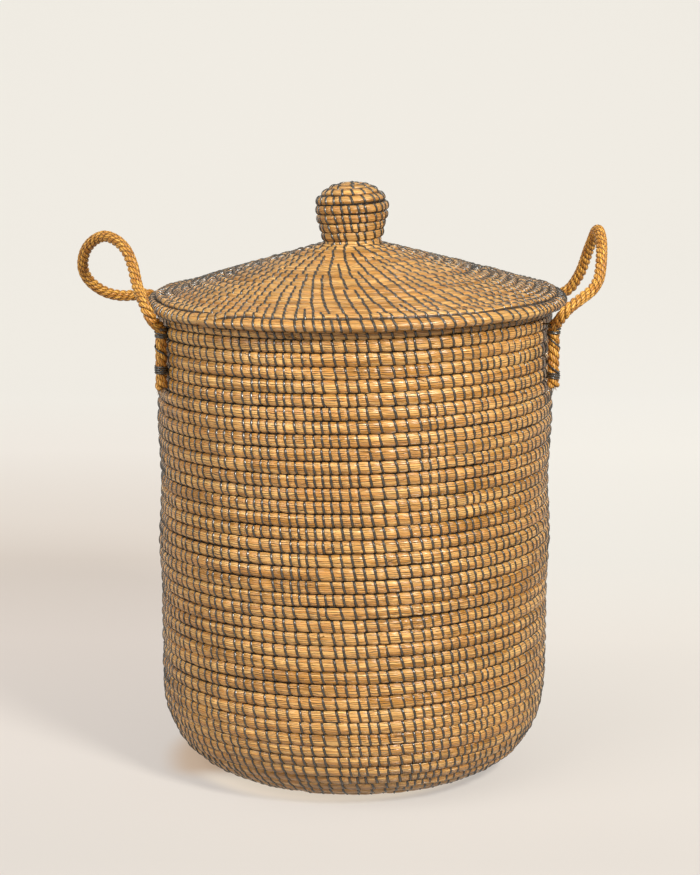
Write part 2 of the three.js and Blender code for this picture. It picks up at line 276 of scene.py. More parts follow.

# %% [markdown]
# ## The seagrass
# Seagrass dries to thin stems that run along the bundle: most are straw coloured, and some turn rusty for a
# hand's breadth or more. Each has fine lines along it and a soft natural gloss.
# Streaks could be painted by hand, but there are fifty rows of them. The bundle's UV map counts stitches
# along it and goes once around it, so noise that is stretched along the first direction gives stems at
# their true size, and the way round tells where the grooves between rows are: there painted shade darkens
# the straw. The lid's outermost row has no row below it, so the painted shade in its grooves is faint.

# %% Seagrass colours and cells
STRAW_DARK = (0.31, 0.110, 0.016, 1)
STRAW = (0.57, 0.250, 0.044, 1)
STRAW_PALE = (0.90, 0.550, 0.178, 1)
STRAW_STOPS = [(0.0, STRAW_DARK), (0.38, STRAW), (1.0, STRAW_PALE)]
RUST = (0.40, 0.160, 0.004, 1)
RUST_SHARE = 0.80
# Dark brown of the seams between stems, also used as painted shade in the grooves between rows.
SEAM_BROWN_AND_GROOVE_SHADE = (0.014, 0.006, 0.002, 1)
SEAM_SHARE = 0.8
STEMS_AROUND = 24
STEM_RUN = 9
RUN_SHIFT = 9
STEM_WAVER = 1.8
STEM_TONE = 0.42
GRAIN_TONE = 0.9
TONE_DROP = 0.10
DULLEST = 0.80
CELL_LIGHT = 0.16
FIBRE_LIGHT = 0.20
WAVER_CELLS = (0.7, 9)
TONE_CELLS = (0.5, 38)
RUST_CELLS = (0.07, 6)
FIBRE_CELLS = (1.3, 60)
SEAM_CELLS = (0.55, 26)
RUST_LEVELS = (0.55, 0.63)
FIBRE_LEVELS = (0.35, 0.60)
SEAM_EDGES = (0.55, 0.95)
SEAM_LEVELS = (0.42, 0.56)
# Where the painted shade in the grooves between rows starts and ends around the bundle.
GROOVES_AROUND = 2
GROOVE_SHADE_EDGES = (0.59, 0.71)
FIBRE_RELIEF = 0.4
SEAM_RELIEF = 0.5
DEEP_RELIEF = 0.7
STEM_ROUGHNESS = 0.24
FIBRE_ROUGHNESS = 0.2
print(STEMS_AROUND, "stems around a bundle, each for about", STEM_RUN, "stitches")

# %% Seagrass finish
def straw_colour(along, around, lane):
    """A tone for each run of each stem, with rusty stretches."""
    stem = lane.floor()
    run = (along * (1 / STEM_RUN) + chance_of(stem, second=0.0) * RUN_SHIFT).floor()
    streak = grain(along, around, TONE_CELLS, layer=5.0)
    tone = chance_of(stem, run) * STEM_TONE + streak * GRAIN_TONE - TONE_DROP
    colour = tone.node("ValToRGB", {"stops": STRAW_STOPS}, {0: tone})
    rusty = grain(along, around, RUST_CELLS, layer=4.0).between(*RUST_LEVELS)
    return mix(rusty * RUST_SHARE, colour, RUST)


def seagrass_finish(name, groove_shade_share):
    """Stems with dark seams between some of them, and painted shade in the grooves at both sides of the row.
    """
    material, start = start_finish(name)
    along, around = strip_uv(start)
    waver = grain(along, around, WAVER_CELLS, layer=3.0, detail=2.0) - 0.5
    lane = around * STEMS_AROUND + waver * STEM_WAVER
    fibre = grain(along, around, FIBRE_CELLS, layer=8.0, detail=2.0)
    stitch_cell = chance_of(along.floor(), second=7.0)
    light = DULLEST + stitch_cell * CELL_LIGHT + fibre.between(*FIBRE_LEVELS) * FIBRE_LIGHT
    colour = mix(1.0, straw_colour(along, around, lane), grey(light), "MULTIPLY")
    seam = from_middle(lane).between(*SEAM_EDGES)
    deep = seam * grain(along, around, SEAM_CELLS, layer=6.0).between(*SEAM_LEVELS)
    colour = mix(deep * SEAM_SHARE, colour, SEAM_BROWN_AND_GROOVE_SHADE)
    relief = fibre * FIBRE_RELIEF - seam * SEAM_RELIEF - deep * DEEP_RELIEF
    # Painted shade at the top and bottom of each row, where shade falls in the grooves between rows.
    groove_shade = (1 - from_middle(around * GROOVES_AROUND)).between(*GROOVE_SHADE_EDGES)
    end_finish(start, {
        "Base Color": mix(groove_shade * groove_shade_share, colour, SEAM_BROWN_AND_GROOVE_SHADE),
        "Roughness": STEM_ROUGHNESS + fibre * FIBRE_ROUGHNESS,
        "Normal": bumps(relief, strength=0.9, height=0.0009),
        "Specular IOR Level": 0.95,
    })
    return material


SEAGRASS = seagrass_finish("seagrass", groove_shade_share=0.9)
# The lid's outermost row gets the same finish with much less painted shade in its grooves.
EDGE_SEAGRASS = seagrass_finish("seagrass_edge", groove_shade_share=0.15)
print(len(SEAGRASS.node_tree.nodes), "nodes in the seagrass")

# %% [markdown]
# ## The thread
# The sewing thread is a flat dark grey yarn, waxed enough to glint where it bends over a row. Two or three
# fine fibres can be made out along it.
# One flat grey would do from afar. Noise along the thread's own UV map adds the fibres, and a broader noise
# in the room's own directions keeps one stitch from looking like the next.

# %% Thread finish
THREAD_DARK = (0.018, 0.016, 0.013, 1)
THREAD_GREY = (0.056, 0.048, 0.038, 1)
THREAD_CELLS = (2.5, 7)
THREAD_LEVELS = (0.35, 0.75)
PATCH_SCALE = 55.0
FIBRE_GREY = 0.6
PATCH_GREY = 0.5
THREAD_ROUGHNESS = 0.19
THREAD_FIBRE_ROUGHNESS = 0.10


def thread_finish():
    """Dark grey fibres with a waxy gloss."""
    material, start = start_finish("stitch_thread")
    along, around = strip_uv(start)
    fibre = grain(along, around, THREAD_CELLS, layer=2.0, detail=2.0)
    patch = cloud(start.node("TexCoord", output="Object"), PATCH_SCALE, detail=1.0)
    greyness = (fibre * FIBRE_GREY + patch * PATCH_GREY).between(*THREAD_LEVELS)
    end_finish(start, {
        "Base Color": mix(greyness, THREAD_DARK, THREAD_GREY),
        "Roughness": THREAD_ROUGHNESS + fibre * THREAD_FIBRE_ROUGHNESS,
        "Normal": bumps(fibre, strength=0.4, height=0.0003),
        "Specular IOR Level": 0.90,
    })
    return material


THREAD = thread_finish()
print(len(THREAD.node_tree.nodes), "nodes in the thread")

# %% [markdown]
# ## The rope and the stuffing
# The handles are laid from three yarns of twisted rush, ochre, and darker with painted shade where the
# yarns meet. The stuffing of the knob can't be seen: it is loose chopped straw.
# Dark creases could be left to the light alone, but here the shade in them is painted as well. Each
# yarn's UV map starts on the side that faces the rope's middle, and painted shade darkens that side. Lanes
# that slant across it are the strands, with painted shade in the seams between them.

# %% Rope finish
ROPE_OCHRE = (0.45, 0.170, 0.018, 1)
ROPE_PALE = (0.86, 0.450, 0.080, 1)
# Painted shade for the creases between yarns and the seams between strands.
ROPE_CREASE_SHADE = (0.090, 0.032, 0.004, 1)
CREASE_SHADE_SHARE = 0.9
STRAND_SEAM_SHADE_SHARE = 0.6
STRANDS_AROUND = 6
STRAND_TWIST = -2.4
STRAND_WAVER = 1.5
STRAND_TONE = 0.5
ROPE_FIBRE_TONE = 0.9
ROPE_TONE_DROP = 0.22
STRAND_CELLS = (0.5, 4)
ROPE_FIBRE_CELLS = (1.2, 2.2)
ROPE_LEVELS = (0.1, 0.9)
STRAND_EDGES = (0.55, 1.0)
CREASE_SHADE_EDGES = (0.25, 0.60)
ROPE_FIBRE_RELIEF = 0.5
ROPE_ROUGHNESS = 0.32
ROPE_FIBRE_ROUGHNESS = 0.25


def rope_finish():
    """Twisted strands, with painted shade in the seams between them and where the yarn turns in to the other
    two.
    """
    material, start = start_finish("handle_rope")
    along, around = strip_uv(start)
    waver = grain(along, around, STRAND_CELLS, layer=1.0) * STRAND_WAVER
    lane = around * STRANDS_AROUND + along * STRAND_TWIST + waver
    fibre = grain(along, lane, ROPE_FIBRE_CELLS, layer=4.0, detail=2.0)
    tone = chance_of(lane.floor(), second=3.0) * STRAND_TONE + fibre * ROPE_FIBRE_TONE - ROPE_TONE_DROP
    colour = mix(tone.between(*ROPE_LEVELS), ROPE_OCHRE, ROPE_PALE)
    # Painted shade in the seams between strands and on the side of each yarn that faces the rope's middle.
    seam = from_middle(lane).between(*STRAND_EDGES)
    inward = from_middle(around).between(*CREASE_SHADE_EDGES)
    colour = mix(seam * STRAND_SEAM_SHADE_SHARE, colour, ROPE_CREASE_SHADE)
    end_finish(start, {
        "Base Color": mix(inward * CREASE_SHADE_SHARE, colour, ROPE_CREASE_SHADE),
        "Roughness": ROPE_ROUGHNESS + fibre * ROPE_FIBRE_ROUGHNESS,
        "Normal": bumps(fibre * ROPE_FIBRE_RELIEF - seam, strength=1.0, height=0.0009),
        "Specular IOR Level": 0.5,
    })
    return material


ROPE = rope_finish()
print(len(ROPE.node_tree.nodes), "nodes in the rope")

# %% Stuffing finish
CHAFF_SCALE = 260.0
CHAFF_LEVELS = (0.35, 0.65)


def stuffing_finish():
    """Chopped straw, light and dark."""
    material, start = start_finish("stuffing")
    chaff = cloud(start.node("TexCoord", output="Object"), CHAFF_SCALE, detail=3.0)
    end_finish(start, {
        "Base Color": mix(chaff.between(*CHAFF_LEVELS), STRAW_DARK, STRAW_PALE),
        "Roughness": 0.8,
        "Normal": bumps(chaff, strength=0.7, height=0.001),
    })
    return material


STUFFING = stuffing_finish()
print(len(STUFFING.node_tree.nodes), "nodes in the stuffing")

# %% [markdown]
# ## Tubes from flat sheets
# A bundle, a stitch and a rope yarn are all tubes along a crooked line. A curve with a bevel makes a tube
# too, but every ring of it is alike, and a hand-laid bundle swells and is pinched at each stitch.
# So a tube starts as a flat grid: one direction runs along the tube, the other around it. The grid is
# copied with an Array modifier where many tubes are needed, each vertex is carried to its place, and the
# seam is welded.

# %% Flat sheets
WELD_DISTANCE = 2e-5


def flat_sheets(name, copies, rings, sides):
    """A grid for each copy, one above the other, with a UV map."""
    sheet = bmesh.new()
    sheet.loops.layers.uv.new("UVMap")
    bmesh.ops.create_grid(sheet, x_segments=rings - 1, y_segments=sides, size=0.5, calc_uvs=True)
    piece = bpy.data.objects.new(name, bpy.data.meshes.new(name))
    sheet.to_mesh(piece.data)
    sheet.free()
    scene.collection.objects.link(piece)
    array = piece.modifiers.new("copies", "ARRAY")
    array.count = copies
    array.use_relative_offset = False
    array.use_constant_offset = True
    array.constant_offset_displace = (0, 0, 1)
    dressed = piece.evaluated_get(bpy.context.evaluated_depsgraph_get())
    piece.data = bpy.data.meshes.new_from_object(dressed)
    piece.modifiers.clear()
    return piece


def sheet_counts(piece, rings, sides):
    """The copy, ring and side that each vertex of the flat sheets belongs to."""
    flat = np.empty(len(piece.data.vertices) * 3, np.float32)
    piece.data.vertices.foreach_get("co", flat)
    x, y, z = flat.reshape(-1, 3).T
    ring = np.rint((x + 0.5) * (rings - 1)).astype(int)
    side = np.rint((y + 0.5) * sides).astype(int)
    return np.rint(z).astype(int), ring, side


print("sheets ready")

# %% Close a wrapped sheet
def stretch_uv(piece, along_scale, along_start=0.0):
    """Makes the first direction of the UV map count what lies along the tube."""
    uv = np.empty(len(piece.data.loops) * 2, np.float32)
    piece.data.uv_layers[0].data.foreach_get("uv", uv)
    uv[0::2] = uv[0::2] * along_scale + along_start
    piece.data.uv_layers[0].data.foreach_set("uv", uv)


def close_tubes(piece, places):
    """Carries the vertices to their places, welds the seams and closes the ends."""
    piece.data.vertices.foreach_set("co", places.astype(np.float32).ravel())
    shell = bmesh.new()
    shell.from_mesh(piece.data)
    bmesh.ops.remove_doubles(shell, verts=shell.verts, dist=WELD_DISTANCE)
    open_edges = [edge for edge in shell.edges if edge.is_boundary]
    bmesh.ops.holes_fill(shell, edges=open_edges, sides=0)
    bmesh.ops.recalc_face_normals(shell, faces=shell.faces)
    for face in shell.faces:
        face.smooth = True
    shell.to_mesh(piece.data)
    shell.free()


def unit(vectors):
    """The same directions with a length of 1."""
    return vectors / np.linalg.norm(vectors, axis=-1, keepdims=True)


print("closing ready")

# %% Tubes along paths
def tubes(name, paths, facing, width, height, sides, closed=False):
    """Tubes along paths (copies, rings, 3). Facing is the way that their flat top points."""
    copies, rings = paths.shape[:2]
    ahead = np.gradient(paths, axis=1)
    if closed:
        ahead[:, 0] = ahead[:, -1] = paths[:, 1] - paths[:, -2]
    ahead = unit(ahead)
    facing = unit(facing - ahead * np.sum(facing * ahead, axis=-1, keepdims=True))
    across = np.cross(ahead, facing)
    piece = flat_sheets(name, copies, rings, sides)
    copy, ring, side = sheet_counts(piece, rings, sides)
    angle = (TURN * ((side % sides) + 0.5) / sides + TURN / 2)[:, None]
    half_height = np.broadcast_to(height, paths.shape[:2])[copy, ring][:, None]
    half_width = np.broadcast_to(width, paths.shape[:2])[copy, ring][:, None]
    lifted = facing[copy, ring] * half_height * np.cos(angle)
    spread = across[copy, ring] * half_width * np.sin(angle)
    close_tubes(piece, paths[copy, ring] + lifted + spread)
    return piece


def dress(piece, body, finish, slot, *nodes):
    """Gives a piece its finish and the body it moves with, and hides the solids it stands for."""
    piece.data.materials.append(finish)
    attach(piece, body)
    if nodes:
        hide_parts(*nodes)
    piece.data.calc_loop_triangles()
    print(piece.name, len(piece.data.loop_triangles), "triangles")


print("tubes ready")

# %% [markdown]
# ## How a coil is laid
# A coil is a spiral on a round form. Its line is drawn once, as the middle of the bundle from the centre
# outwards, and the bundle climbs one row with each turn. A row is as tall as the distance between one turn
# and the next, so the last row is cut off level and runs out in a thin end, as the maker's does.
# Spin with a rise for each step would give the same spiral, but each ring would be the same, and the
# stitches would not know where the rows are. So one class carries a place on the strip (how many stitches
# along, which way round) into the room.

# %% Coil
BUNDLE_SIDES = 14
RING_PLACES = np.array([0, 0.17, 0.5, 0.83])
FULL_SECTION = 0.74
SEWN_SECTION = 0.84
SEWN_SHARPNESS = 4
STITCH_LEAN = 0.16
STITCH_PINCH = 0.14
ROW_OVERLAP = 0.0011
FULLNESS_SPREAD = 0.025
STEM_RELIEF = 0.00032
STEM_STITCHES = 7
WANDER = 0.00035
THREAD_RINGS = 11
THREAD_SIDES = 5
THREAD_CROWDING = 0.42
THREAD_HALF_WIDTH = 0.00140
THREAD_HALF_HEIGHT = 0.00105
THREAD_LIFT = 0.00040
FACING_STEP = 0.001


def fuller(wave, power):
    """A sine or cosine raised to a power below 1, so that a round section turns into a rounded square."""
    return np.sign(wave) * np.abs(wave) ** power


class Coil:
    """A bundle laid in rows along a line, and sewn at the given turns.

    The function rows gives both sides of the row at a turn, as distances along the line. A ring that
    closes on itself repeats after loop stitches. The function settle moves the finished points to where
    the piece really lies.
    """

    def __init__(
        self, line, rows, turns, way, first_angle, half_depth, seed, loop=0, settle=None, overlap=ROW_OVERLAP,
    ):
        self.line = line
        self.settle = settle
        self.rows = rows
        self.turns = np.array(turns)
        self.way = way
        self.first_angle = first_angle
        self.overlap = np.broadcast_to(overlap, len(turns))
        self.half_depth = np.broadcast_to(half_depth, len(turns))
        self.stitch = np.arange(len(turns))
        chance = np.random.default_rng(seed)
        self.fullness = 1 + FULLNESS_SPREAD * chance.standard_normal(len(turns))
        self.wander = WANDER * chance.standard_normal(len(turns))
        self.relief = STEM_RELIEF * chance.standard_normal((len(turns) // STEM_STITCHES + 2, BUNDLE_SIDES))
        if loop:
            self.fullness = self.fullness[self.stitch % loop]
            self.wander = self.wander[self.stitch % loop]
            self.relief = self.relief[:1].repeat(len(self.relief), axis=0)

    def skin(self, position, angle, lift=0.0):
        """Points at the given stitches along and angles round, lifted off the bundle's skin."""
        turn = np.interp(position - STITCH_LEAN * np.sin(angle), self.stitch, self.turns)
        low, high = self.rows(turn)
        sewn = (0.5 + 0.5 * np.cos(TURN * position)) ** SEWN_SHARPNESS
        power = FULL_SECTION + (SEWN_SECTION - FULL_SECTION) * sewn
        size = np.interp(position, self.stitch, self.fullness) * (1 - STITCH_PINCH * sewn)
        out = (np.interp(position, self.stitch, self.half_depth) * size + lift) * fuller(np.cos(angle), power)
        out = out + np.interp(position, self.stitch, self.wander)
        overlap = np.interp(position, self.stitch, self.overlap)
        up = ((high - low + overlap) / 2 * size + lift) * fuller(np.sin(angle), power)
        radius, height, run, rise = self.line_at((low + high) / 2)
        radius = radius + self.way * out * rise + up * run
        height = height - self.way * out * run + up * rise
        heading = self.first_angle + self.way * TURN * turn
        places = np.stack([radius * np.cos(heading), radius * np.sin(heading), height], axis=-1)
        return self.settle(places) if self.settle else places

    def line_at(self, distance):
        """Radius and height of the line there, and its direction."""
        along, radius, height = self.line
        run = np.gradient(radius, along)
        rise = np.gradient(height, along)
        length = np.hypot(run, rise)
        return [np.interp(distance, along, of) for of in (radius, height, run / length, rise / length)]

    def bundle(self, name, first, last):
        """The bundle from one stitch to another, as a mesh."""
        per_stitch = len(RING_PLACES)
        rings = (last - first) * per_stitch + 1
        piece = flat_sheets(name, 1, rings, BUNDLE_SIDES)
        copy, ring, side = sheet_counts(piece, rings, BUNDLE_SIDES)
        position = first + ring // per_stitch + RING_PLACES[ring % per_stitch]
        stem = position / STEM_STITCHES
        share = stem % 1
        before = self.relief[stem.astype(int), side % BUNDLE_SIDES]
        after = self.relief[stem.astype(int) + 1, side % BUNDLE_SIDES]
        relief = before * (1 - share) + after * share
        stretch_uv(piece, last - first, first)
        angle = TURN * (side % BUNDLE_SIDES) / BUNDLE_SIDES + TURN / 2
        close_tubes(piece, self.skin(position, angle, relief))
        return piece

    def stitches(self, name, first, last):
        """A thread round the bundle at each stitch, as one mesh."""
        position = np.arange(first, last)[:, None]
        even = np.linspace(0, TURN, THREAD_RINGS + 1)[None, :]
        angle = even - THREAD_CROWDING * np.sin(even)
        paths = self.skin(position, angle, THREAD_LIFT)
        facing = self.skin(position, angle, 2 * THREAD_LIFT + FACING_STEP) - paths
        return tubes(name, paths, facing, THREAD_HALF_WIDTH, THREAD_HALF_HEIGHT, THREAD_SIDES, closed=True)


print("coil ready")

# %% [markdown]
# ## Where the stitches sit
# Each stitch is sewn beside the one in the row below, so the stitches stand in columns that lean a little.
# Where the round grows, a column splits in two, and where it shrinks, two columns meet.
# Even spacing on each row would break those columns, so the walk below goes along the coil as the sewer
# did, and looks at the row before for each stitch.

# %% Stitch walk
WIDEST_CELL = 0.0158
NARROWEST_CELL = 0.0078
STITCH_JITTER = 0.0007
EVEN_OUT = 0.12


def walk_stitches(
    round_length, last_turn, first_count, drift, seed, widest=WIDEST_CELL, narrowest=NARROWEST_CELL,
):
    """The turns at which stitches sit, each one row on from a stitch of the row before."""
    chance = random.Random(seed)
    turns = [count / first_count for count in range(first_count + 1)]
    below = 1
    while turns[-1] < last_turn:
        length = round_length(turns[-1])
        even = (turns[below - 1] + turns[below + 1]) / 2
        place = turns[below] + EVEN_OUT * (even - turns[below]) + 1
        place += (chance.gauss(0, STITCH_JITTER) - drift) / length
        gap = (place - turns[-1]) * length
        if gap > widest:
            turns.append((turns[-1] + place) / 2)
            continue
        below += 1
        if gap > narrowest:
            turns.append(place)
    return turns


def stitch_at(turns, turn):
    """The stitch that is next to a turn."""
    return int(np.searchsorted(turns, turn))


print("walk ready")

# %% [markdown]
# ## The basket's coil
# The base is a flat spiral, the heel rolls it up in a round that is fuller than a circle, and the wall is a
# drum that swells and narrows by a millimetre or two, because the bundle was pulled by hand.
# A quarter circle would give a plainer heel, but the foot in the photograph is squarer, so sine and cosine
# are raised to a power. The line is measured on the outside, where rows keep their width.

# %% Basket line
ROW_PITCH = 0.01384
HALF_DEPTH = 0.0065
HEEL_HEIGHT = 0.110
HEEL_POWER = 0.84
SWAY = 0.0014
SWAY_LENGTH = 0.148
SWAY_CREST = 0.400
SWAY_FROM = (0.15, 0.26)
SWELL = 0.0012
BASE_CLEARANCE = 0.0016
FLAT_POINTS = 24
HEEL_POINTS = 41
WALL_POINTS = 120

base_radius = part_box("base_coil")[1].x
wall_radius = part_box("wall_coil")[1].x
rim_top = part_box("rim_coil")[1].z


def distances(steps):
    """How far each point is along a line with the given steps."""
    return np.concatenate([[0], np.cumsum(steps)])


def basket_line():
    """Distance along the outside, and radius and height of the bundle's middle. Also where the heel ends."""
    flat = np.linspace(0, base_radius, FLAT_POINTS, endpoint=False)
    bend = np.linspace(0, TURN / 4, HEEL_POINTS)
    wall = np.linspace(HEEL_HEIGHT, rim_top, WALL_POINTS)
    out = np.sin(bend) ** HEEL_POWER
    down = np.abs(np.cos(bend)) ** HEEL_POWER
    steps = np.hypot(np.diff((wall_radius - base_radius) * out), np.diff(HEEL_HEIGHT * down))
    heel = base_radius + distances(steps)
    fade = np.clip((wall - SWAY_FROM[0]) / (SWAY_FROM[1] - SWAY_FROM[0]), 0, 1)
    sway = fade * (SWELL + SWAY * np.cos(TURN * (wall - SWAY_CREST) / SWAY_LENGTH))
    lowest = HALF_DEPTH + BASE_CLEARANCE
    wall_middle = wall_radius - HALF_DEPTH
    along = [flat, heel[:-1], heel[-1] - HEEL_HEIGHT + wall]
    radius = [flat, base_radius + (wall_middle - base_radius) * out[:-1], wall_middle + sway]
    height = [flat * 0 + lowest, HEEL_HEIGHT - (HEEL_HEIGHT - lowest) * down[:-1], wall]
    return [np.concatenate(part) for part in (along, radius, height)], heel[-1]


BASKET_LINE, heel_end = basket_line()
basket_length = BASKET_LINE[0][-1]
print(f"{basket_length / ROW_PITCH:.1f} rows from the middle of the base to the rim")

# %% Basket coil
FRONT = -TURN / 4
FRONT_GROOVE = 0.5048
THIN_END = 0.003
MID_ROW = 0.5
ROW_TILT = 0.0143
BASKET_DRIFT = 0.0005


def level_rows(pitch, length):
    """Rows that climb one pitch a turn and are cut off level at the end of the line."""
    def rows(turn):
        return np.clip(pitch * turn, 0, length), np.clip(pitch * (turn + 1), 0, length)
    return rows


def round_of(line, pitch):
    """How long one round of a coil is at a turn."""
    def round_length(turn):
        return TURN * np.interp(pitch * (turn + MID_ROW), line[0], line[1])
    return round_length


def on_the_floor(places):
    """Tilts the rows up to the right: in full on the wall, and not at all on the floor."""
    x, y, z = np.moveaxis(places, -1, 0)
    return np.stack([x, y, z + ROW_TILT * x * np.clip(z / HEEL_HEIGHT, 0, 1)], axis=-1)


front_turn = (basket_length - (rim_top - FRONT_GROOVE)) / ROW_PITCH
last_turn = (basket_length - THIN_END) / ROW_PITCH
basket_round = round_of(BASKET_LINE, ROW_PITCH)
basket_turns = walk_stitches(basket_round, last_turn, first_count=5, drift=BASKET_DRIFT, seed=11)
basket = Coil(
    BASKET_LINE, level_rows(ROW_PITCH, basket_length), basket_turns,
    way=1, first_angle=FRONT - TURN * front_turn, half_depth=HALF_DEPTH, seed=12, settle=on_the_floor,
)
print(len(basket_turns), "stitches in the basket")

# %% Basket pieces
def sew(coil, name, first, last, body, finish, *nodes):
    """The bundle of a stretch of a coil and the stitches round it, as two pieces."""
    dress(coil.bundle(name + "_bundle", first, last), body, finish, "seagrass", *nodes)
    dress(coil.stitches(name + "_stitches", first, last), body, THREAD, "stitch_thread")


heel_turn = base_radius / ROW_PITCH - MID_ROW
wall_turn = heel_end / ROW_PITCH - MID_ROW
middle_turn = (wall_turn + last_turn) / 2
inner_cuts = [stitch_at(basket_turns, turn) for turn in (heel_turn, wall_turn, middle_turn)]
cuts = [0, *inner_cuts, len(basket_turns) - 1]
parts = [
    ("base", ["base_coil"]),
    ("heel", ["heel_coil"]),
    ("lower_wall", ["wall_coil"]),
    ("upper_wall", ["wall_coil", "rim_coil"]),
]
for (name, nodes), first, last in zip(parts, cuts, cuts[1:]):
    sew(basket, name, first, last, "basket", SEAGRASS, *nodes)

# %% [markdown]
# ## The lid
# The lid is a shallow cone, worked from the neck of the knob outwards and clockwise seen from above. It
# sags a little, sits a little tilted, and its top leans to the left. Its last row is broader, is turned
# down over the rim and droops in places, and its cut end shows at the front left, where the row before
# steps out to take its place. A ring sewn underneath keeps the lid in the mouth.
# A spun cone could be bent afterwards with a lattice, but the stitches have to bend with it. So the coil is
# laid on a true cone, and one function settles every point of the lid on the rim.

# %% Lid line
LID_SLOPE = math.radians(17)
LID_LIFT = 0.0042
LID_SAG = 0.0035
SAG_RADII = (0.031, 0.160)
LID_ROWS = 21.6
BRIM_FROM = 0.206
EDGE_SLOPE = math.radians(42)
EDGE_INSIDE = 0.0064
EDGE_DROP = 0.0024
EDGE_ROW = 0.0115
NECK_BORE = 0.018
CONE_POINTS = 150
BRIM_POINTS = 15

lid_low, lid_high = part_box("lid_coil")
edge_low, edge_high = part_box("lid_edge_coil")


def lid_line():
    """From under the neck down the cone and the brim to the outside of the edge row."""
    cone = np.linspace(NECK_BORE, BRIM_FROM, CONE_POINTS)
    sag = LID_SAG * np.interp(cone, SAG_RADII, [1, 0])
    lift = HALF_DEPTH / math.cos(LID_SLOPE) - sag
    cone_height = lid_low.z + (lid_high.x - cone) * math.tan(LID_SLOPE) + lift
    middle = edge_high.x - EDGE_INSIDE
    middle_height = (edge_low.z + edge_high.z) / 2 - EDGE_DROP
    across = EDGE_ROW / 2 * math.cos(EDGE_SLOPE)
    down = EDGE_ROW / 2 * math.sin(EDGE_SLOPE)
    brim = np.linspace(BRIM_FROM, middle - across, BRIM_POINTS)[1:]
    brim_height = np.linspace(cone_height[-1], middle_height + down, BRIM_POINTS)[1:]
    edge = np.linspace(middle - across, middle + across, BRIM_POINTS)[1:]
    edge_height = np.linspace(middle_height + down, middle_height - down, BRIM_POINTS)[1:]
    radius = np.concatenate([cone, brim, edge])
    height = np.concatenate([cone_height, brim_height, edge_height]) + LID_LIFT
    return distances(np.hypot(np.diff(radius), np.diff(height))), radius, height


LID_LINE = lid_line()
lid_length = LID_LINE[0][-1]
lid_pitch = (lid_length - EDGE_ROW) / (LID_ROWS - 1)
print(f"lid rows {1000 * lid_pitch:.1f} mm wide")

# %% Lid settled on the rim
LID_SHIFT = 0.0026
LID_TILT = 0.0150
LID_NOD = 0.012
APEX_LEAN = 0.068
LID_RISE = 0.075
DROOP_RADII = (0.200, 0.222)
DROOP_HEADINGS = np.radians([-180, -150, -115, -80, -40, 0, 40, 180])
LID_DROOPS = np.array([-0.0012, 0.0020, 0.0010, 0, 0, 0.0008, 0, -0.0012])


def on_the_rim(places):
    """Tilts the lid up to the right and back, lets its top lean to the left and its edge droop in places."""
    x, y, z = np.moveaxis(places, -1, 0)
    rise = z - rim_top
    radius = np.hypot(x, y)
    sideways = LID_SHIFT - ROW_TILT * rise - APEX_LEAN * np.clip(rise, 0, LID_RISE)
    droop = np.interp(np.arctan2(y, x), DROOP_HEADINGS, LID_DROOPS) * np.interp(radius, DROOP_RADII, [0, 1])
    return np.stack([x + sideways, y - LID_NOD * rise, z + LID_TILT * x + LID_NOD * y - droop], axis=-1)


print(f"the edge droops by up to {1000 * LID_DROOPS.max():.1f} mm")

# %% Lid coil
LID_END_ANGLE = math.radians(-142)
LID_DRIFT = 0.0022
STEP_SHARE = 0.07
STEP_FADE = 5
CUT_SHARE = 0.25
EDGE_OVERLAP = 0.0020
EDGE_HALF_DEPTH = 0.0050


def row_side(turn):
    """How far down the line a row's inner side is. Near the edge it runs level and then steps out."""
    share = (turn - LID_ROWS) % 1
    step = np.clip((share - 1 + STEP_SHARE) / STEP_SHARE, 0, 1)
    step = step * step * (3 - 2 * step)
    fade = np.clip(1 - (LID_ROWS - turn) / STEP_FADE, 0, 1)
    row = turn + fade * (step - share)
    return np.interp(row, [0, LID_ROWS - 1, LID_ROWS], [0, lid_length - EDGE_ROW, lid_length])


def stepped_rows(turn):
    """Both sides of a row: its outer side is the inner side of the row one turn on."""
    return row_side(turn), row_side(turn + 1)


last_lid_turn = LID_ROWS - CUT_SHARE * STEP_SHARE
lid_round = round_of(LID_LINE, lid_pitch)
lid_turns = walk_stitches(lid_round, last_lid_turn, first_count=12, drift=LID_DRIFT, seed=21)
edge_stitch = stitch_at(lid_turns, LID_ROWS - 1 - STEP_SHARE / 2)
on_edge = np.arange(len(lid_turns)) >= edge_stitch
lid = Coil(
    LID_LINE, stepped_rows, lid_turns, way=-1, first_angle=LID_END_ANGLE + TURN * LID_ROWS,
    half_depth=np.where(on_edge, EDGE_HALF_DEPTH, HALF_DEPTH), seed=22, settle=on_the_rim,
    overlap=np.where(on_edge, EDGE_OVERLAP, ROW_OVERLAP),
)
sew(lid, "lid", 0, edge_stitch, "lid", SEAGRASS, "lid_coil")
sew(lid, "lid_edge", edge_stitch, len(lid_turns) - 1, "lid", EDGE_SEAGRASS, "lid_edge_coil")

# %% Seat under the lid
SEAT_STITCHES = 98
SEAT_JITTER = 0.08
RING_LAP = 2

seat_low, seat_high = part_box("lid_seat_coil")
seat_half = (seat_high.z - seat_low.z) / 4
seat_radius = seat_high.x - HALF_DEPTH


def seat_row(turn):
    """Both sides of a row that doesn't climb."""
    return turn * 0 - seat_half, turn * 0 + seat_half


